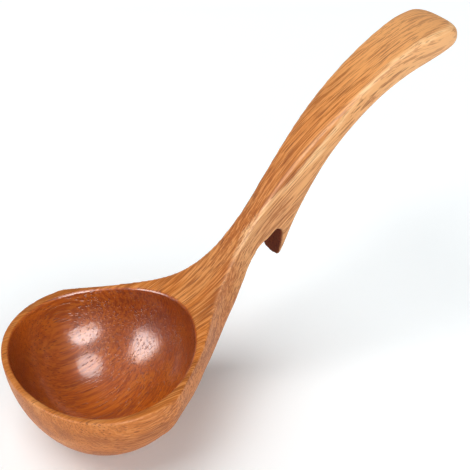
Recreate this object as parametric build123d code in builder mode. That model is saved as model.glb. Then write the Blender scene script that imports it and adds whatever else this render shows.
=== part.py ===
"""Soup ladle, carved out of one billet of hardwood.

Its rim lies level: x runs along the handle and z points up out of the bowl.
It is drawn round the middle of the rim, and at the end it is set down with the
middle of its footprint at the zero point. All lengths are in millimetres.
"""
from build123d import *
from math import cos, radians, sin
import os

os.makedirs("parts", exist_ok=True)

# Bowl
bowl_half_length = 45.0         # from the middle of the rim to the front lip
bowl_radius = 44.8              # of its round sections, seen along the handle
bowl_egg_share = -0.14          # how much the outside narrows towards the handle
bowl_angles = (180, 155, 130, 110, 90)

# Hollow: its walls are measured from the outside of the bowl
side_wall = 4.2
lip_wall = 3.1
back_wall = 8.3                 # short of a half bowl, where the fan begins
hollow_egg_share = -0.125
hollow_angles = (180, 150, 120, 90, 60, 30, 0)
turning_height = 0.6            # both eggs are turned about a line this far above the rim
rim_round = 0.9

# Handle, measured from the middle of the rim
handle_reach = 190.5
handle_rise = 89.0
tip_corner_round = 11.0

# Notch that frees the hook under the neck, seen from the side
notch_end_x = 87.3
notch_end_z = 19.3
notch_end_round = 2.3
notch_drop = 42.0               # from the round end down past the underside
prong_lean_share = 0.12         # how far the hook leans towards the bowl as it goes down
notch_front_shares = ((-13.3, -16.4), (-9.9, -9.3), (-8.0, -6.1), (-6.0, -3.05), (-4.2, -1.35), (-2.7, -0.5),
                      (-0.5, 0.85))  # neck side of the notch, from its end, over the end's radius

# Fair lines along the handle, as shares of its reach, then of its rise or of the bowl's radius
top_shares = ((0.0, 0.0), (0.08, 0.0), (0.16, 0.012), (0.24, 0.07), (0.32, 0.19), (0.505, 0.575),
              (0.705, 0.87), (0.87, 1.0), (0.94, 1.015), (1.0, 0.99))
side_shares = ((0.0, 1.0), (0.075, 0.84), (0.15, 0.63), (0.215, 0.405), (0.315, 0.175), (0.41, 0.117),
               (0.62, 0.205), (0.86, 0.283), (1.0, 0.35))
depth_shares = ((0.0, 0.9866), (0.146, 0.81), (0.263, 0.68), (0.337, 0.60), (0.40, 0.72), (0.459, 0.865),
                (0.479, 0.805), (0.516, 0.66), (0.554, 0.545), (0.611, 0.42), (0.743, 0.325), (0.885, 0.335),
                (0.95, 0.295), (1.0, 0.18))
flare_shares = ((0.0, 0.0), (0.25, 0.04), (0.45, 0.34), (0.62, 0.08), (1.0, 0.0))   # of its half width, below
square_shares = ((0.0, 2.0), (0.15, 2.3), (0.33, 5.0), (0.46, 5.5), (0.62, 5.0), (1.0, 4.2))  # 2 is round
tip_droop_share = -0.6         # slopes of the lines at the tip
tip_flare_share = 0.1
tip_thin_share = -0.8
section_count = 24
section_steps = 8
line_precision_share = 1e-9


def egg_points(middle, half_length, half_width, egg_share, angles):
    """Points of an egg outline: angle 0 is on the handle's side, 180 at the front lip."""
    points = []
    for angle in angles:
        along = cos(radians(angle))
        across = sin(radians(angle)) * (1 + egg_share * along)
        points.append((middle + half_length * along, half_width * across))
    return points


def below_line(points):
    """The same points, measured down from the turning line."""
    return [(x, turning_height - radius) for x, radius in points]


def shared_points(shares, reach, rise, start=(0, 0)):
    """Points of a line given as shares of two lengths, measured from its start."""
    return [(start[0] + along * reach, start[1] + up * rise) for along, up in shares]


def height_on(line, x):
    """Second coordinate of a fair line at the place x along the handle."""
    low, high = 0.0, 1.0
    while high - low > line_precision_share:
        half = (low + high) / 2
        if (line @ half).X < x:
            low = half
        else:
            high = half
    return (line @ low).Y


def share_on(shares, along):
    """Value of a table of shares at one place along the handle, eased from row to row."""
    for (start, before), (end, after) in zip(shares, shares[1:]):
        if along <= end:
            part_way = (along - start) / (end - start)
            return before + (after - before) * part_way ** 2 * (3 - 2 * part_way)
    return shares[-1][1]


def section_points(half_width, depth, flare, squareness):
    """Round-bottomed section below a straight top, from one top edge to the other."""
    points = []
    for step in range(section_steps + 1):
        angle = radians(180 * step / section_steps)
        across = abs(cos(angle)) ** (2 / squareness)
        down = abs(sin(angle)) ** (2 / squareness)
        side = 1 if 2 * step < section_steps else -1
        points.append((side * half_width * across * (1 + flare * down), -depth * down))
    return points


with BuildLine() as top_line:
    Spline(*shared_points(top_shares, handle_reach, handle_rise), tangents=[(1, 0), (1, tip_droop_share)],
           tangent_scalars=[1, 1])
with BuildLine() as side_line:
    Spline(*shared_points(side_shares, handle_reach, bowl_radius), tangents=[(1, bowl_egg_share), (1, tip_flare_share)],
           tangent_scalars=[1, 1])
with BuildLine() as depth_line:
    Spline(*shared_points(depth_shares, handle_reach, bowl_radius), tangents=[(1, bowl_egg_share), (1, tip_thin_share)],
           tangent_scalars=[1, 1])

turning_axis = Axis((0, 0, turning_height), (1, 0, 0))

with BuildPart() as ladle:
    # Front of the bowl: an egg turned about a line along the handle, cut level at the rim
    with BuildSketch(Plane.XZ):
        with BuildLine():
            lip = Spline(*below_line(egg_points(0, bowl_half_length, bowl_radius, bowl_egg_share, bowl_angles)),
                         tangents=[(0, -1), (1, -bowl_egg_share)], tangent_scalars=[1, 1])
            Polyline(lip @ 1, (0, turning_height), lip @ 0)
        make_face()
    revolve(axis=turning_axis)
    split(bisect_by=Plane.XY, keep=Keep.BOTTOM)

    # Back of the bowl, neck and handle: sections that run into one another
    for number in range(section_count + 1):
        along = number / section_count
        x = handle_reach * along
        top = height_on(top_line.line, x)
        half_width = height_on(side_line.line, x)
        depth = height_on(depth_line.line, x)
        with BuildSketch(Plane(origin=(x, 0, top), x_dir=(0, 1, 0), z_dir=(1, 0, 0))):
            with BuildLine():
                if number == 0:
                    rim_half_width = (bowl_radius ** 2 - turning_height ** 2) ** 0.5
                    round_side = ThreePointArc((rim_half_width, 0), (0, turning_height - bowl_radius),
                                               (-rim_half_width, 0))
                else:
                    section = section_points(half_width, depth, share_on(flare_shares, along),
                                             share_on(square_shares, along))
                    round_side = Spline(*section, tangents=[(0, -1), (0, 1)], tangent_scalars=[1, 1])
                Line(round_side @ 1, round_side @ 0)
            make_face()
    loft()

    # Rounded corners of the tip, seen from above
    with BuildSketch(Plane.XY):
        with Locations((handle_reach, 0)):
            Rectangle(2 * tip_corner_round, bowl_radius)
        tip_width = 2 * height_on(side_line.line, handle_reach)
        with Locations((handle_reach - bowl_radius / 2, 0)):
            RectangleRounded(bowl_radius, tip_width, tip_corner_round, mode=Mode.SUBTRACT)
    extrude(amount=2 * handle_rise, mode=Mode.SUBTRACT)

    # Notch in front of the hook
    with BuildSketch(Plane.XZ):
        notch_end = (notch_end_x, notch_end_z)
        with BuildLine():
            neck_side = Spline(*shared_points(notch_front_shares, notch_end_round, notch_end_round, notch_end))
            Polyline(neck_side @ 1, (notch_end_x + notch_end_round, notch_end_z),
                     (notch_end_x + notch_end_round - prong_lean_share * notch_drop, notch_end_z - notch_drop),
                     neck_side @ 0)
        make_face()
        with Locations(notch_end):
            Circle(notch_end_round)
    extrude(amount=bowl_radius, both=True, mode=Mode.SUBTRACT)

    # Hollow: a smaller egg turned about the same line
    hollow_half_length = bowl_half_length - (lip_wall + back_wall) / 2
    hollow_middle = (lip_wall - back_wall) / 2
    with BuildSketch(Plane.XZ):
        with BuildLine():
            floor = Spline(*below_line(egg_points(hollow_middle, hollow_half_length, bowl_radius - side_wall,
                                                  hollow_egg_share, hollow_angles)),
                           tangents=[(0, -1), (0, 1)], tangent_scalars=[1, 1])
            Line(floor @ 1, floor @ 0)
        make_face()
    revolve(axis=turning_axis, mode=Mode.SUBTRACT)
    rim_edges = ladle.edges(Select.LAST).filter_by(GeomType.LINE, reverse=True)
    fillet(rim_edges.filter_by(lambda edge: edge.center().Z > -rim_round), radius=rim_round)

# The bowl's underside comes to height zero
drawn_box = ladle.part.bounding_box()
with BuildPart() as placed:
    with Locations((-drawn_box.center().X, 0, -drawn_box.min.Z)):
        add(ladle.part)

placed.part.label = "ladle"
export_step(placed.part, "parts/ladle.step")
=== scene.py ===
"""Soup ladle in oiled hardwood, finished on its carved solid.

The body is the carved blank with its edges eased by hand. The wood is one
billet: layers, fibres and pores run through the solid, so every face shows the
same grain where it cuts it. A pale streak wanders beside the handle's near
ridge. Lengths are in metres, and places in the billet are in millimetres.
"""

import math
import bmesh
import bpy
import numpy as np
from bpy.props import FloatProperty, FloatVectorProperty, PointerProperty
from bpy.types import Operator, Panel, PropertyGroup
from mathutils import Matrix, Vector


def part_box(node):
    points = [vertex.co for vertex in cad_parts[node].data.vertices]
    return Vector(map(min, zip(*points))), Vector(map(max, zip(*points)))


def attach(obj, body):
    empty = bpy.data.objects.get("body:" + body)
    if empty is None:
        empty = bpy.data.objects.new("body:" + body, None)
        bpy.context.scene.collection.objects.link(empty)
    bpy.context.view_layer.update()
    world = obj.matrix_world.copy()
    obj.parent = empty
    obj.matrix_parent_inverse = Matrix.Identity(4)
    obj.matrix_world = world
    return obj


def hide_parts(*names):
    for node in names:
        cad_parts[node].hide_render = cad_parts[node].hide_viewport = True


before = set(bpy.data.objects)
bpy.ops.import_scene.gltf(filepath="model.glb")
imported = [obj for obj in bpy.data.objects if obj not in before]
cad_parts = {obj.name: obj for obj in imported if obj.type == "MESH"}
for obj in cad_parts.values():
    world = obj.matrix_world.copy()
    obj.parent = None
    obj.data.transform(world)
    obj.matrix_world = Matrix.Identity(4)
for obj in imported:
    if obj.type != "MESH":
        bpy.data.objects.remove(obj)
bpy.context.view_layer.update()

bl_info = {
    "name": "Oiled hardwood soup ladle",
    "version": (1, 0, 0),
    "blender": (4, 5, 0),
    "location": "View3D > Sidebar > Ladle",
    "description": "Eases, grains and oils the carved ladle and sets its studio",
    "category": "Object",
}


# Landmarks on the ladle

LOW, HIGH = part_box("ladle")
LENGTH = HIGH.x - LOW.x
RIM_LEVEL = LOW.z + 0.04463
BOWL_MIDDLE_X = LOW.x + 0.0424
BOWL_BACK_X = LOW.x + 0.083
NOTCH_X = (LOW.x + 0.126, LOW.x + 0.1375)
NOTCH_TOP = RIM_LEVEL + 0.0225


# Values that a user would change


def colour(name, text, default):
    """A colour setting of the wood."""
    return FloatVectorProperty(name=name, description=text, default=default, subtype="COLOR", size=3,
                               min=0, max=1)


def length(name, text, default):
    """A length setting of the carving."""
    return FloatProperty(name=name, description=text, default=default, min=0, unit="LENGTH", precision=5)


class LadleSizes(PropertyGroup):
    skin_pitch: length("Skin pitch", "Spacing of the points on the carved skin", 0.0006)
    rim_ease: length("Rim ease", "How far the edges of the rim are eased", 0.0003)
    ridge_ease: length("Ridge ease", "How far the ridges are eased at the neck", 0.0008)
    grip_ease: length("Grip ease", "How far the ridges are eased at the grip", 0.0020)
    tip_ease: length("Tip ease", "How far the end of the grip is rounded over", 0.0034)
    streak_width: length("Streak width", "Half the width of the pale streak beside the near ridge", 0.0027)


class LadleColours(PropertyGroup):
    heartwood: colour("Heartwood", "Main colour of the oiled wood", (0.60, 0.188, 0.032))
    late_wood: colour("Late wood", "Darker bands of the growth layers", (0.31, 0.082, 0.013))
    early_wood: colour("Early wood", "Lighter bands of the growth layers", (0.80, 0.355, 0.108))
    # The sapwood colour also paints light on the handle's near side face below the streak.
    sapwood_and_side_light: colour("Sapwood", "Pale streak beside the near ridge", (0.93, 0.60, 0.30))
    # The worn colour lightens the convex edges as wear and as a painted highlight along the ridges, and the
    # grip's end as wear.
    worn_and_highlight: colour("Worn edge", "Edges that handling has rubbed light", (0.86, 0.50, 0.25))
    pore: colour("Pore", "Open pores, filled with oil", (0.14, 0.034, 0.007))
    # The hollow tint darkens the inside of the bowl as soaked wood and as painted shade.
    hollow: colour("Hollow", "Tint of the soaked wood inside the bowl", (0.83, 0.53, 0.09))
    # This tint darkens the hollow's front and back walls further, as soaked end grain and as painted shade.
    soaked_and_shaded: colour("Soaked", "Further tint where the hollow cuts the fibres across", (0.60, 0.46, 0.27))
    # This tint darkens the hook's face in the notch as soaked end grain and as painted shade.
    end_grain_and_shade: colour("End grain", "Tint of the soaked face inside the notch", (0.21, 0.075, 0.03))


# Carving

WELD_DISTANCE = 1e-6
EVEN_WEIGHT = 0.5               # share of the way to the middle of its neighbours that one pass draws a point
WEIGHT_CAP = 0.95
SKIN_PASSES = 3
EASE_PASSES = 80
WEAR_AND_HIGHLIGHT_PASSES = 4
NOTCH_PASSES = 2

# Stretches of the ladle over which something sets in, as shares of its length
RIDGE_STRETCH = (0.28, 0.42)
GRIP_STRETCH = (0.55, 0.90)
TIP_STRETCH = (0.90, 0.98)
STREAK_STRETCH = (0.43, 0.50)
HANDLED_STRETCH = (0.70, 0.98)

# Ranges over which a mark sets in: wood lost in metres, or how squarely the skin faces a way
WEAR_AND_HIGHLIGHT_RANGE = (0.00004, 0.00025)
HOLLOW_RANGE = (0.3, 0.6)
SOAKED_AND_SHADED_RANGE = (0.35, 0.95)
NOTCH_RANGE = (0.45, 0.8)
HOLLOW_HEADROOM = 0.004         # above the rim's level

# Slices of the ladle in which its near upper ridge is found
SLICES = 236
SLICES_AVERAGED = 9
UPPER_DEPTH = 0.0015            # below the highest point of a slice, and still on its upper face

# Middle of the pale streak: share along the ladle, and metres across from the ridge (below it, if negative)
STREAK_PLACES = (0.44, 0.49, 0.55, 0.60, 0.66, 0.72, 0.78, 0.93, 1.0)
STREAK_SHIFTS = (0.0, 0.0, -0.0035, -0.0075, -0.0075, -0.003, -0.0005, 0.0005, 0.002)


def take_blank(name):
    """A copy of the carved solid's mesh, welded, as a new object."""
    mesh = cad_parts["ladle"].data.copy()
    mesh.name = name
    mesh.materials.clear()
    blank = bpy.data.objects.new(name, mesh)
    bpy.context.scene.collection.objects.link(blank)
    shape = bmesh.new()
    shape.from_mesh(mesh)
    bmesh.ops.remove_doubles(shape, verts=shape.verts, dist=WELD_DISTANCE)
    shape.to_mesh(mesh)
    shape.free()
    return blank


def even_skin(blank, pitch):
    """Gives the blank a skin of even small faces, as sanding would follow."""
    skin = blank.modifiers.new("even_skin", "REMESH")
    skin.mode = "VOXEL"
    skin.voxel_size = pitch
    skin.adaptivity = 0
    bpy.context.view_layer.update()
    depsgraph = bpy.context.evaluated_depsgraph_get()
    mesh = bpy.data.meshes.new_from_object(blank.evaluated_get(depsgraph))
    blank.modifiers.clear()
    old = blank.data
    blank.data = mesh
    bpy.data.meshes.remove(old)
    mesh.name = blank.name
    return mesh


def point_values(mesh, name):
    """Three values of every point of the skin, one row each: its place or its normal."""
    rows = np.empty(len(mesh.vertices) * 3)
    mesh.vertices.foreach_get(name, rows)
    return rows.reshape(-1, 3)


def point_pairs(mesh):
    """The two points of every edge of the skin."""
    pairs = np.empty(len(mesh.edges) * 2, dtype=np.int64)
    mesh.edges.foreach_get("vertices", pairs)
    return pairs.reshape(-1, 2)


def relax(rows, edges, weight, passes):
    """Draws the values of each point towards the mean of its neighbours' values."""
    count = len(rows)
    a, b = edges[:, 0], edges[:, 1]
    valence = np.bincount(a, minlength=count) + np.bincount(b, minlength=count)
    for _ in range(passes):
        for column in range(rows.shape[1]):
            line = rows[:, column]
            total = np.bincount(a, line[b], count) + np.bincount(b, line[a], count)
            rows[:, column] = line + weight * (total / valence - line)
    return rows


def soften(mask, edges, passes):
    """The same mask, spread a little over the skin."""
    return relax(np.column_stack([mask]), edges, EVEN_WEIGHT, passes)[:, 0]


def smoothstep(values, low, high):
    """Goes from 0 at low to 1 at high, with soft ends."""
    t = np.clip((values - low) / (high - low), 0, 1)
    return t * t * (3 - 2 * t)


def store(mesh, name, values):
    """Keeps a value of every point for the wood to read."""
    attribute = mesh.attributes.new(name, "FLOAT", "POINT")
    attribute.data.foreach_set("value", np.ascontiguousarray(values, dtype=np.float32))


def across_ridge(co):
    """Way of each point across the near upper ridge: over the top face, or down the near side."""
    number = np.clip(((co[:, 0] - LOW.x) / LENGTH * SLICES).astype(int), 0, SLICES - 1)
    top = np.full(SLICES, -np.inf)
    np.maximum.at(top, number, co[:, 2])
    upper = co[:, 2] > top[number] - UPPER_DEPTH
    ridge = np.zeros(SLICES)
    np.minimum.at(ridge, number[upper], co[upper, 1])
    middles = LOW.x + (np.arange(SLICES) + 0.5) * LENGTH / SLICES
    end = SLICES_AVERAGED // 2
    kernel = np.ones(SLICES_AVERAGED) / SLICES_AVERAGED
    top_height, ridge_place = (
        np.interp(co[:, 0], middles[end:-end], np.convolve(values, kernel, "valid")) for values in (top, ridge)
    )
    return (co[:, 1] - ridge_place) - (top_height - co[:, 2])


def ease_edges(co, edges, along, sizes):
    """Rounds the edges over, a little at the rim and more towards the end of the grip."""
    ease = sizes.rim_ease + (sizes.ridge_ease - sizes.rim_ease) * smoothstep(along, *RIDGE_STRETCH)
    ease += (sizes.grip_ease - sizes.ridge_ease) * smoothstep(along, *GRIP_STRETCH)
    ease += (sizes.tip_ease - sizes.grip_ease) * smoothstep(along, *TIP_STRETCH)
    # A pass spreads a point by half its weight times the pitch squared, so all of them spread it by its ease.
    weight = np.clip(2 * ease**2 / sizes.skin_pitch**2 / EASE_PASSES, 0, WEIGHT_CAP)
    return relax(co, edges, weight, EASE_PASSES)


def mark_wear_and_highlight(mesh, loss, along, edges):
    """Convex edges are painted lighter, as wear and as a highlight, where easing takes the most wood off; the
    end of the grip wears too.
    """
    store(mesh, "wear_and_highlight", soften(smoothstep(loss, *WEAR_AND_HIGHLIGHT_RANGE), edges, WEAR_AND_HIGHLIGHT_PASSES))
    store(mesh, "handled", smoothstep(along, *HANDLED_STRETCH))


def mark_hollow(mesh, co, normals):
    """The hollow is soaked and painted in shade, darker up to the inner edge of the rim; its skin faces the
    bowl's middle.
    """
    towards = np.array((BOWL_MIDDLE_X, 0, RIM_LEVEL)) - co
    towards /= np.linalg.norm(towards, axis=1)[:, None]
    inside = smoothstep((normals * towards).sum(1), *HOLLOW_RANGE)
    inside *= (co[:, 0] < BOWL_BACK_X) & (co[:, 2] < RIM_LEVEL + HOLLOW_HEADROOM)
    store(mesh, "hollow", inside)
    # The fibres run along the ladle, so the front and back walls cut them across and soak up more oil; the
    # mark also paints shade on these walls.
    store(mesh, "soaked_and_shaded", inside * smoothstep(np.abs(normals[:, 0]), *SOAKED_AND_SHADED_RANGE))


def mark_streak(mesh, co, along, width):
    """The pale streak wanders beside the near ridge of the handle."""
    middle = np.interp(along, STREAK_PLACES, STREAK_SHIFTS)
    store(mesh, "streak", (across_ridge(co) - middle) / width)
    store(mesh, "handle", smoothstep(along, *STREAK_STRETCH))


def mark_notch(mesh, co, normals, edges):
    """The hook's face in the notch shows end grain, which soaks up the most oil; the mark also paints the
    shade that falls in the notch.
    """
    facing = smoothstep(-normals[:, 0], *NOTCH_RANGE)
    facing *= (co[:, 0] > NOTCH_X[0]) & (co[:, 0] < NOTCH_X[1]) & (co[:, 2] < NOTCH_TOP)
    store(mesh, "notch", soften(facing, edges, NOTCH_PASSES))


def carve_body(sizes):
    """The ladle with eased edges, marked with where it is worn, soaked and streaked."""
    body = take_blank("ladle_body")
    mesh = even_skin(body, sizes.skin_pitch)
    edges = point_pairs(mesh)

    # A few even passes take the steps of the skin out before the edges are eased.
    co = relax(point_values(mesh, "co"), edges, EVEN_WEIGHT, SKIN_PASSES)
    sharp = co.copy()
    along = (co[:, 0] - LOW.x) / LENGTH
    co = ease_edges(co, edges, along, sizes)
    mesh.vertices.foreach_set("co", co.ravel())
    mesh.update()

    normals = point_values(mesh, "normal")
    mark_wear_and_highlight(mesh, ((sharp - co) * normals).sum(1), along, edges)
    mark_hollow(mesh, co, normals)
    mark_streak(mesh, co, along, sizes.streak_width)
    mark_notch(mesh, co, normals, edges)
    mesh.polygons.foreach_set("use_smooth", np.ones(len(mesh.polygons), dtype=bool))
    mesh.update()
    return body


# Shader pieces

VALUE, COLOUR, VECTOR = "NodeSocketFloat", "NodeSocketColor", "NodeSocketVector"
MIX_FACTOR, MIX_A, MIX_B, MIX_RESULT = 0, 6, 7, 2
NODES_IN_ROW = 8
NODE_STEP = (190, -260)
SOURCE_PLACE = (-400, 0)
SINK_PLACE = (1700, 0)


class Tree:
    """A short hand for placing nodes in a material or a group."""

    def __init__(self, tree):
        self.tree = tree
        self.count = 0

    def add(self, kind, inputs=(), **settings):
        """Places a node, sets it up, and links or fills its inputs."""
        node = self.tree.nodes.new(kind)
        row, column = divmod(self.count, NODES_IN_ROW)
        node.location = (column * NODE_STEP[0], row * NODE_STEP[1])
        self.count += 1
        for key, value in settings.items():
            setattr(node, key, value)
        for key, value in dict(inputs).items():
            socket = node.inputs[key]
            if isinstance(value, bpy.types.NodeSocket):
                self.tree.links.new(value, socket)
            else:
                socket.default_value = value
        return node

    def math(self, operation, *values):
        """A sum or comparison of plain values."""
        return self.add("ShaderNodeMath", dict(enumerate(values)), operation=operation).outputs[0]

    def vector(self, operation, *values):
        """The same for places, all three ways at once."""
        return self.add("ShaderNodeVectorMath", dict(enumerate(values)), operation=operation).outputs[0]

    def split(self, place):
        """The three ways of a place."""
        return self.add("ShaderNodeSeparateXYZ", {0: place}).outputs

    def between(self, value, low, high, new_low=0.0, new_high=1.0):
        """Goes from new_low where the value is low to new_high where it is high, with soft ends."""
        inputs = {"Value": value, "From Min": low, "From Max": high, "To Min": new_low, "To Max": new_high}
        return self.add("ShaderNodeMapRange", inputs, interpolation_type="SMOOTHSTEP").outputs["Result"]

    def mix(self, factor, a, b, blend="MIX"):
        """Colour a where the factor is 0, and b over it where it is 1."""
        inputs = {MIX_FACTOR: factor, MIX_A: a, MIX_B: b}
        return self.add("ShaderNodeMix", inputs, data_type="RGBA", blend_type=blend).outputs[MIX_RESULT]

    def tint(self, factor, base, filter_colour):
        """The base colour, seen through a filter where the factor is full."""
        return self.mix(factor, base, self.mix(1.0, base, filter_colour, "MULTIPLY"))

    def noise(self, place, scale, detail, roughness=0.5):
        """Noise over a place that is scaled by its own amount each way."""
        inputs = {"Vector": self.vector("MULTIPLY", place, scale), "Scale": 1.0, "Detail": detail,
                  "Roughness": roughness}
        return self.add("ShaderNodeTexNoise", inputs).outputs


def new_group(name, inputs, outputs):
    """A node group with named sockets, ready to be filled."""
    tree = bpy.data.node_groups.new(name, "ShaderNodeTree")
    for label, kind, default in inputs:
        socket = tree.interface.new_socket(label, in_out="INPUT", socket_type=kind)
        if default is not None:
            socket.default_value = default
    for label, kind in outputs:
        tree.interface.new_socket(label, in_out="OUTPUT", socket_type=kind)
    source = tree.nodes.new("NodeGroupInput")
    source.location = SOURCE_PLACE
    sink = tree.nodes.new("NodeGroupOutput")
    sink.location = SINK_PLACE
    return tree, Tree(tree), source.outputs, sink.inputs


def new_material(name):
    """An empty material and its tree."""
    material = bpy.data.materials.new(name)
    material.use_nodes = True
    material.node_tree.nodes.clear()
    return material, Tree(material.node_tree)


# Wood

MM_PER_METRE = 1000
NOISE_MIDDLE = 0.5

# Lie of the fibres in the billet, in millimetres
CLIMB_STRETCH = (-56.0, 94.0)
CLIMB_HEIGHT = 76.0
DRIFT_SHARE = 0.12              # across, for each step along
SWAY_SCALE = (0.016, 0.05, 0.05)
SWAY_REACH = (0.0, 6.0, 6.0)

# Scale of each mark along the fibres, across them and through the layers
LAYER_SCALE = (0.007, 0.07, 0.10)
FIBRE_SCALE = (0.055, 1.45, 0.55)
PORE_SCALE = (0.065, 1.7, 1.0)
PORE_CROWD_SCALE = (0.02, 0.25, 0.25)
RAGGED_SCALE = (0.03, 0.4, 0.4)
STRAND_SCALE = (0.05, 1.5, 1.5)
RAY_TURN = 0.42                 # radians that the rays lean about the fibres

# Values of the noise between which each mark sets in
DARK_LAYERS = (0.48, 0.34)
PALE_LAYERS = (0.52, 0.66)
DARK_FIBRES = (0.48, 0.41)
PALE_FIBRES = (0.51, 0.59)
PALE_FIBRE_SHARE = 0.65
OPEN_PORES = (0.36, 0.20)
PORE_CROWDS = (0.36, 0.56)
LONE_PORE_SHARE = 0.4
STRANDS = (0.38, 0.55)
STRAND_GAP_SHARE = 0.45         # of the streak that stays between its strands
STREAK_CORE = (1.35, 0.25)      # across the streak, in half widths
STREAK_SIDE = (1.2, -0.8)

# Stretches of the billet over which its colour turns, in millimetres along the fibres
# The butt's darkening also paints the shade on the front of the hollow.
DARK_BUTT_AND_SHADE = (-20.0, -95.0)
DARK_NECK_FRONT = (-50.0, -5.0)
DARK_NECK_BACK = (60.0, 5.0)
PALE_TIP = (5.0, 95.0)
PLAIN_LIP = (-108.0, -60.0)
PLAIN_LIP_SHARE = 0.4           # of the fibres' strength at the front lip


def billet_place(t, place):
    """Place in the billet: along the fibres, across them, and through the layers."""
    x, y, z = t.split(t.vector("MULTIPLY", place, (MM_PER_METRE,) * 3))
    # The fibres lie level under the bowl, climb with the handle and drift to its near side.
    climb = t.between(x, *CLIMB_STRETCH, 0.0, CLIMB_HEIGHT)
    across = t.math("ADD", y, t.math("MULTIPLY", x, DRIFT_SHARE))
    through = t.math("SUBTRACT", z, climb)
    straight = t.add("ShaderNodeCombineXYZ", {0: x, 1: across, 2: through}).outputs[0]
    sway = t.noise(straight, SWAY_SCALE, detail=1.0)["Color"]
    sway = t.vector("MULTIPLY", t.vector("SUBTRACT", sway, (NOISE_MIDDLE,) * 3), SWAY_REACH)
    return t.vector("ADD", straight, sway)


def wood_group():
    """Growth layers, fibres and pores of the billet as colour and masks."""
    tree, t, source, sink = new_group(
        "hardwood_figure",
        [
            ("Billet", VECTOR, None),
            ("Seed", VALUE, 5.0),
            ("Heartwood", COLOUR, (0.5, 0.2, 0.1, 1)),
            ("Late wood", COLOUR, (0.4, 0.1, 0.05, 1)),
            ("Early wood", COLOUR, (0.6, 0.3, 0.15, 1)),
            ("Pore colour", COLOUR, (0.2, 0.05, 0.02, 1)),
            ("Layer strength", VALUE, 0.65),
            ("Butt and shade strength", VALUE, 0.25),
            ("Neck strength", VALUE, 0.5),
            ("Tip strength", VALUE, 0.95),
            ("Fibre strength", VALUE, 0.75),
            ("Pore strength", VALUE, 0.7),
        ],
        [("Color", COLOUR), ("Pores", VALUE), ("Fibres", VALUE)],
    )
    billet = source["Billet"]
    along = t.split(billet)[0]
    dark, pale = source["Late wood"], source["Early wood"]

    layers = t.add(
        "ShaderNodeTexNoise",
        {"Vector": t.vector("MULTIPLY", billet, LAYER_SCALE), "W": source["Seed"], "Scale": 1.0, "Detail": 2.0,
         "Roughness": 0.6},
        noise_dimensions="4D",
    ).outputs["Fac"]
    dark_layers = t.math("MULTIPLY", t.between(layers, *DARK_LAYERS), source["Layer strength"])
    pale_layers = t.math("MULTIPLY", t.between(layers, *PALE_LAYERS), source["Layer strength"])
    wood = t.mix(dark_layers, source["Heartwood"], dark)
    wood = t.mix(pale_layers, wood, pale)

    # The colour darkens towards the butt of the billet, as a tone and as painted shade on the front of the
    # hollow; it is dark again in the neck, and palest at the handle's tip.
    butt_and_shade = t.math("MULTIPLY", t.between(along, *DARK_BUTT_AND_SHADE), source["Butt and shade strength"])
    neck = t.math("MULTIPLY", t.between(along, *DARK_NECK_FRONT), t.between(along, *DARK_NECK_BACK))
    neck = t.math("MULTIPLY", neck, source["Neck strength"])
    tip = t.math("MULTIPLY", t.between(along, *PALE_TIP), source["Tip strength"])
    wood = t.mix(t.math("MAXIMUM", butt_and_shade, neck), wood, dark)
    wood = t.mix(tip, wood, pale)

    # Fibres and pores are flattened across the rays, so they draw long lines on the upper face.
    turn = {"Vector": billet, "Angle": RAY_TURN}
    turned = t.add("ShaderNodeVectorRotate", turn, rotation_type="X_AXIS").outputs[0]
    fibres = t.noise(turned, FIBRE_SCALE, detail=3.0, roughness=0.65)["Fac"]
    strength = t.math("MULTIPLY", t.between(along, *PLAIN_LIP, PLAIN_LIP_SHARE, 1.0), source["Fibre strength"])
    dark_fibres = t.math("MULTIPLY", t.between(fibres, *DARK_FIBRES), strength)
    pale_fibres = t.math("MULTIPLY", t.between(fibres, *PALE_FIBRES, 0.0, PALE_FIBRE_SHARE), strength)
    wood = t.mix(dark_fibres, wood, dark)
    wood = t.mix(pale_fibres, wood, pale)

    cells = t.add(
        "ShaderNodeTexVoronoi",
        {"Vector": t.vector("MULTIPLY", turned, PORE_SCALE), "Scale": 1.0, "Randomness": 1.0},
        feature="F1",
    ).outputs["Distance"]
    crowds = t.noise(billet, PORE_CROWD_SCALE, detail=1.0)["Fac"]
    crowded = t.between(crowds, *PORE_CROWDS, LONE_PORE_SHARE, 1.0)
    pores = t.math("MULTIPLY", t.between(cells, *OPEN_PORES), crowded)
    wood = t.mix(t.math("MULTIPLY", pores, source["Pore strength"]), wood, source["Pore colour"])

    tree.links.new(wood, sink["Color"])
    tree.links.new(pores, sink["Pores"])
    tree.links.new(fibres, sink["Fibres"])
    return tree


def streak_group():
    """Pale sapwood beside a ridge, in strands that run ragged along the fibres, and fainter below it, where it
    also paints light on the side face.
    """
    tree, t, source, sink = new_group(
        "sapwood_streak_and_side_light",
        [
            ("Billet", VECTOR, None),
            ("Across", VALUE, 0.0),
            ("Strength", VALUE, 1.0),
            ("Raggedness", VALUE, 3.0),
            ("Side strength", VALUE, 0.35),
        ],
        [("Mask", VALUE)],
    )
    broad = t.noise(source["Billet"], RAGGED_SCALE, detail=2.0)["Fac"]
    fine = t.noise(source["Billet"], STRAND_SCALE, detail=2.0)["Fac"]
    across = t.math("ABSOLUTE", source["Across"])
    # Below the ridge the pale is partly fainter sapwood and partly painted light on the near side face.
    side = t.math("MULTIPLY", t.between(source["Across"], *STREAK_SIDE), source["Side strength"])
    ragged = t.math("MULTIPLY", t.math("SUBTRACT", broad, NOISE_MIDDLE), source["Raggedness"])
    core = t.between(t.math("ADD", across, ragged), *STREAK_CORE)
    strands = t.between(fine, *STRANDS, STRAND_GAP_SHARE, 1.0)
    mask = t.math("MAXIMUM", t.math("MULTIPLY", core, strands), side)
    tree.links.new(t.math("MULTIPLY", mask, source["Strength"]), sink["Mask"])
    return tree


# Oiled finish, with painted shade and painted light

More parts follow.
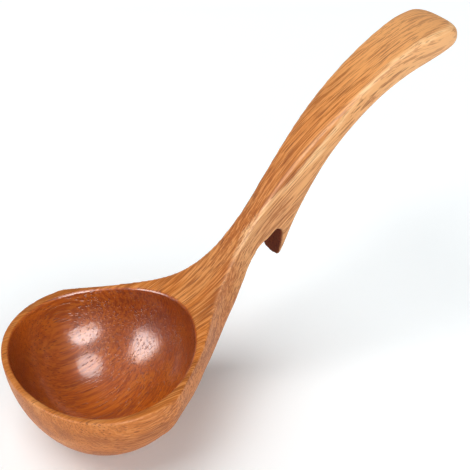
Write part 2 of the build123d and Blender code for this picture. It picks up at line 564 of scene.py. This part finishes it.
POINT_MARKS = ("wear_and_highlight", "handled", "hollow", "soaked_and_shaded", "streak", "handle", "notch")
SAP_OVER_PORES = (0.9, 0.3)     # share of the pale streak that shows outside a pore and over it
SAP_OVER_FIBRES = (0.35, 1.0)   # share that shows over a dark fibre and beside it
SAP_FIBRES = (0.40, 0.49)
RUBBED_AND_HIGHLIGHT_SHARE = 0.32
CALM_SHARE = 0.12               # of the figure that the oil hides in the hollow
FIBRE_RELIEF = 0.5              # of a pore's depth
RELIEF_STRENGTH = 0.7
RELIEF_DEPTH = 0.0001
BARE_ROUGHNESS = 0.52
HOLLOW_ROUGHNESS = 0.40
NOTCH_ROUGHNESS = 0.8
PORE_ROUGHNESS = 0.15           # added to the wood's own
WOOD_SPECULAR = 0.2
OIL_OUTSIDE = 0.12
OIL_IN_HOLLOW = 1.0
OIL_ROUGHNESS = 0.17
OIL_IOR = 1.5


def opaque(value):
    """A colour for a socket, which also wants its opacity."""
    return (*value, 1.0)


def oiled_wood(colours):
    """The billet's wood, rubbed light where it is handled, painted lighter on its edges as wear and highlight
    and on the handle's near side as light, and soaked dark with painted shade inside the bowl and the notch.
    """
    material, t = new_material("oiled_hardwood")
    billet = billet_place(t, t.add("ShaderNodeTexCoord").outputs["Object"])
    inputs = {
        "Billet": billet,
        "Heartwood": opaque(colours.heartwood),
        "Late wood": opaque(colours.late_wood),
        "Early wood": opaque(colours.early_wood),
        "Pore colour": opaque(colours.pore),
    }
    figure = t.add("ShaderNodeGroup", inputs, node_tree=wood_group()).outputs
    pores, fibres = figure["Pores"], figure["Fibres"]
    wear_and_highlight, handled, hollow, soaked_and_shaded, streak, handle, notch = (
        t.add("ShaderNodeAttribute", attribute_name=name).outputs["Fac"] for name in POINT_MARKS
    )
    inputs = {"Billet": billet, "Across": streak, "Strength": handle}
    sap_and_side_light = t.add("ShaderNodeGroup", inputs, node_tree=streak_group()).outputs["Mask"]

    # Dark fibres and pores run on through the pale streak.
    sap_and_side_light = t.math("MULTIPLY", sap_and_side_light, t.between(pores, 0.0, 1.0, *SAP_OVER_PORES))
    sap_and_side_light = t.math("MULTIPLY", sap_and_side_light, t.between(fibres, *SAP_FIBRES, *SAP_OVER_FIBRES))
    # The pale streak is sapwood; below the ridge it also paints light on the near side face.
    wood = t.mix(sap_and_side_light, figure["Color"], opaque(colours.sapwood_and_side_light))
    # Edges are lightened as wear and as a painted highlight, and the grip's end as wear.
    rubbed_and_highlight = t.math("MULTIPLY", t.math("MAXIMUM", wear_and_highlight, handled), RUBBED_AND_HIGHLIGHT_SHARE)
    wood = t.mix(rubbed_and_highlight, wood, opaque(colours.worn_and_highlight))
    # Inside the bowl the figure is calmed and darkened, as soaked wood and as painted shade.
    calm = t.mix(t.math("MULTIPLY", hollow, CALM_SHARE), wood, opaque(colours.heartwood))
    wood = t.mix(hollow, wood, t.mix(1.0, calm, opaque(colours.hollow), "MULTIPLY"))
    # The hollow's front and back walls and the hook's face in the notch are darker still, as soaked end grain
    # and as painted shade.
    wood = t.tint(soaked_and_shaded, wood, opaque(colours.soaked_and_shaded))
    wood = t.tint(notch, wood, opaque(colours.end_grain_and_shade))

    relief = t.math("SUBTRACT", t.math("MULTIPLY", fibres, FIBRE_RELIEF), pores)
    inputs = {"Strength": RELIEF_STRENGTH, "Distance": RELIEF_DEPTH, "Height": relief}
    bump = t.add("ShaderNodeBump", inputs).outputs["Normal"]
    matt_hollow = t.between(hollow, 0.0, 1.0, BARE_ROUGHNESS, HOLLOW_ROUGHNESS)
    matt = t.math("MAXIMUM", matt_hollow, t.between(notch, 0.0, 1.0, 0.0, NOTCH_ROUGHNESS))
    oil = t.between(hollow, 0.0, 1.0, OIL_OUTSIDE, OIL_IN_HOLLOW)
    inputs = {
        "Base Color": wood,
        "Roughness": t.math("ADD", t.math("MULTIPLY", pores, PORE_ROUGHNESS), matt),
        "Specular IOR Level": WOOD_SPECULAR,
        "Coat Weight": t.math("MULTIPLY", oil, t.between(notch, 1.0, 0.0)),
        "Coat Roughness": OIL_ROUGHNESS,
        "Coat IOR": OIL_IOR,
        "Normal": bump,
        "Coat Normal": bump,
    }
    shader = t.add("ShaderNodeBsdfPrincipled", inputs).outputs[0]
    t.add("ShaderNodeOutputMaterial", {"Surface": shader})
    return material


# Stage

FLOOR_RADIUS = 12.0
FLOOR_SIDES = 96
FLOOR_COLOUR = (0.92, 0.92, 0.92, 1)
# The painted glow on the floor has a cool tint, which greys the warm light that the wood throws into the
# shadow.
GLOW_COLOUR = (0.75, 0.93, 1.0, 1)
GLOW_REACH = (0.045, 0.15)      # distance from the foot of the bowl
GLOW_STRENGTH = (0.07, 0.24)

ROOM_COLOUR = (1, 1, 1, 1)
ROOM_LIGHT = 0.14

# Panels of light: name, azimuth and elevation in degrees, width and height in metres, radiance, and
# whether it lights the surfaces and shows in their gloss
PANEL_DISTANCE = 3.0
ELLIPSE_SHARE = math.pi / 4     # of the rectangle round it
PANELS = (
    ("key", 158, 71, 2.4, 2.4, 4.0, True, False),
    ("near_key", -116, 30, 2.2, 2.2, 2.2, True, False),
    ("low_fill", -78, 7, 3.0, 0.6, 4.6, True, False),
    ("left_fill", 178, 7, 3.0, 0.6, 2.4, True, False),
    ("window_left", 176, 20, 1.8, 2.8, 12.5, False, True),
    ("window_high", -102, 58, 1.6, 1.6, 9.5, False, True),
    ("window_low", -107, 15, 1.9, 1.8, 15.0, False, True),
)

CAMERA_PLACE = Vector((-0.28892, -0.38173, 0.44020))
CAMERA_FORWARD = Vector((0.4710, 0.6320, -0.6145))
CAMERA_UP = Vector((0.397, 0.470, 0.788))
CAMERA_LENS = 105.7             # millimetres, as is the sensor
SENSOR_WIDTH = 36.0
CLIP_START = 0.01


def floor_material():
    """Matt white with a painted glow, seen by the camera and in gloss, that is weaker near the bowl: the floor
    is painted whiter away from the bowl and darker round it, so the shadow beside the bowl keeps its depth.
    """
    material, t = new_material("studio_floor")
    matt = t.add("ShaderNodeBsdfDiffuse", {"Color": FLOOR_COLOUR}).outputs[0]
    place = t.add("ShaderNodeTexCoord").outputs["Object"]
    ends = {0: place, 1: (BOWL_MIDDLE_X, 0, 0)}
    distance = t.add("ShaderNodeVectorMath", ends, operation="DISTANCE").outputs["Value"]
    strength = t.between(distance, *GLOW_REACH, *GLOW_STRENGTH)
    glow = t.add("ShaderNodeEmission", {"Color": GLOW_COLOUR, "Strength": strength}).outputs[0]
    path = t.add("ShaderNodeLightPath").outputs
    mirrored = t.math("MAXIMUM", path["Is Glossy Ray"], path["Is Transmission Ray"])
    seen = t.math("MAXIMUM", path["Is Camera Ray"], mirrored)
    lit = t.add("ShaderNodeAddShader", {0: matt, 1: glow}).outputs[0]
    shader = t.add("ShaderNodeMixShader", {0: seen, 1: matt, 2: lit}).outputs[0]
    t.add("ShaderNodeOutputMaterial", {"Surface": shader})
    return material


def lay_floor():
    """A plain pale floor under the bowl."""
    shape = bmesh.new()
    bmesh.ops.create_circle(shape, cap_ends=True, segments=FLOOR_SIDES, radius=FLOOR_RADIUS)
    mesh = bpy.data.meshes.new("floor")
    shape.to_mesh(mesh)
    shape.free()
    floor = bpy.data.objects.new("floor", mesh)
    floor.location.z = LOW.z
    bpy.context.scene.collection.objects.link(floor)
    mesh.materials.append(floor_material())


def hang_panel(name, azimuth, elevation, width, height, radiance, lights, shows):
    """A soft panel of light aimed at the bowl from the given direction; it is oval where it shows in gloss."""
    target = Vector((BOWL_MIDDLE_X, 0, RIM_LEVEL))
    a, e = math.radians(azimuth), math.radians(elevation)
    way = Vector((math.cos(e) * math.cos(a), math.cos(e) * math.sin(a), math.sin(e)))
    light = bpy.data.lights.new(name, "AREA")
    light.shape = "ELLIPSE" if shows else "RECTANGLE"
    light.size = width
    light.size_y = height
    light.energy = radiance * math.pi * width * height * (ELLIPSE_SHARE if shows else 1)
    panel = bpy.data.objects.new(name, light)
    panel.location = target + way * PANEL_DISTANCE
    panel.rotation_euler = (-way).to_track_quat("-Z", "Y").to_euler()
    panel.visible_camera = False
    panel.visible_diffuse = lights
    panel.visible_glossy = shows
    bpy.context.scene.collection.objects.link(panel)


def light_world():
    """Even, dim light from all sides."""
    world = bpy.data.worlds.new("studio")
    bpy.context.scene.world = world
    world.use_nodes = True
    world.node_tree.nodes.clear()
    t = Tree(world.node_tree)
    room = t.add("ShaderNodeBackground", {"Color": ROOM_COLOUR, "Strength": ROOM_LIGHT}).outputs[0]
    t.add("ShaderNodeOutputWorld", {"Surface": room})


def place_camera():
    """Looks down over the bowl, with the handle running up and away."""
    camera = bpy.data.cameras.new("camera")
    camera.lens = CAMERA_LENS
    camera.sensor_width = SENSOR_WIDTH
    camera.clip_start = CLIP_START
    camera.dof.use_dof = False
    holder = bpy.data.objects.new("camera", camera)
    back = -CAMERA_FORWARD.normalized()
    right = CAMERA_UP.cross(back).normalized()
    up = back.cross(right)
    holder.matrix_world = Matrix.Translation(CAMERA_PLACE) @ Matrix((right, up, back)).transposed().to_4x4()
    bpy.context.scene.collection.objects.link(holder)
    bpy.context.scene.camera = holder


# Operators and panel


class LADLE_OT_body(Operator):
    """Ease the edges of the carved ladle and oil its wood"""

    bl_idname = "ladle.body"
    bl_label = "Ladle body"

    def execute(self, context):
        body = carve_body(context.scene.ladle_sizes)
        body.data.materials.append(oiled_wood(context.scene.ladle_colours))
        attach(body, "root")
        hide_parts("ladle")
        return {"FINISHED"}


class LADLE_OT_stage(Operator):
    """Lay the floor, hang the soft lights and place the camera"""

    bl_idname = "ladle.stage"
    bl_label = "Floor, lights and camera"

    def execute(self, context):
        lay_floor()
        light_world()
        for panel in PANELS:
            hang_panel(*panel)
        place_camera()
        context.scene.view_settings.view_transform = "Standard"
        return {"FINISHED"}


class LADLE_PT_panel(Panel):
    """The ladle's pieces, sizes and colours"""

    bl_idname = "LADLE_PT_panel"
    bl_label = "Soup ladle"
    bl_space_type = "VIEW_3D"
    bl_region_type = "UI"
    bl_category = "Ladle"

    def draw(self, context):
        layout = self.layout
        for group in (context.scene.ladle_sizes, context.scene.ladle_colours):
            for name in group.bl_rna.properties.keys():
                if name not in ("rna_type", "name"):
                    layout.prop(group, name)
        for operator in OPERATORS:
            layout.operator(operator.bl_idname)


OPERATORS = (LADLE_OT_body, LADLE_OT_stage)
CLASSES = (LadleSizes, LadleColours, *OPERATORS, LADLE_PT_panel)


def register():
    """Adds the settings, the operators and the panel."""
    for item in CLASSES:
        bpy.utils.register_class(item)
    bpy.types.Scene.ladle_sizes = PointerProperty(type=LadleSizes)
    bpy.types.Scene.ladle_colours = PointerProperty(type=LadleColours)


def unregister():
    """Takes them away again."""
    del bpy.types.Scene.ladle_colours
    del bpy.types.Scene.ladle_sizes
    for item in reversed(CLASSES):
        bpy.utils.unregister_class(item)


def main():
    """Makes the ladle and its studio."""
    register()
    bpy.ops.ladle.body()
    bpy.ops.ladle.stage()


if __name__ == "__main__":
    main()
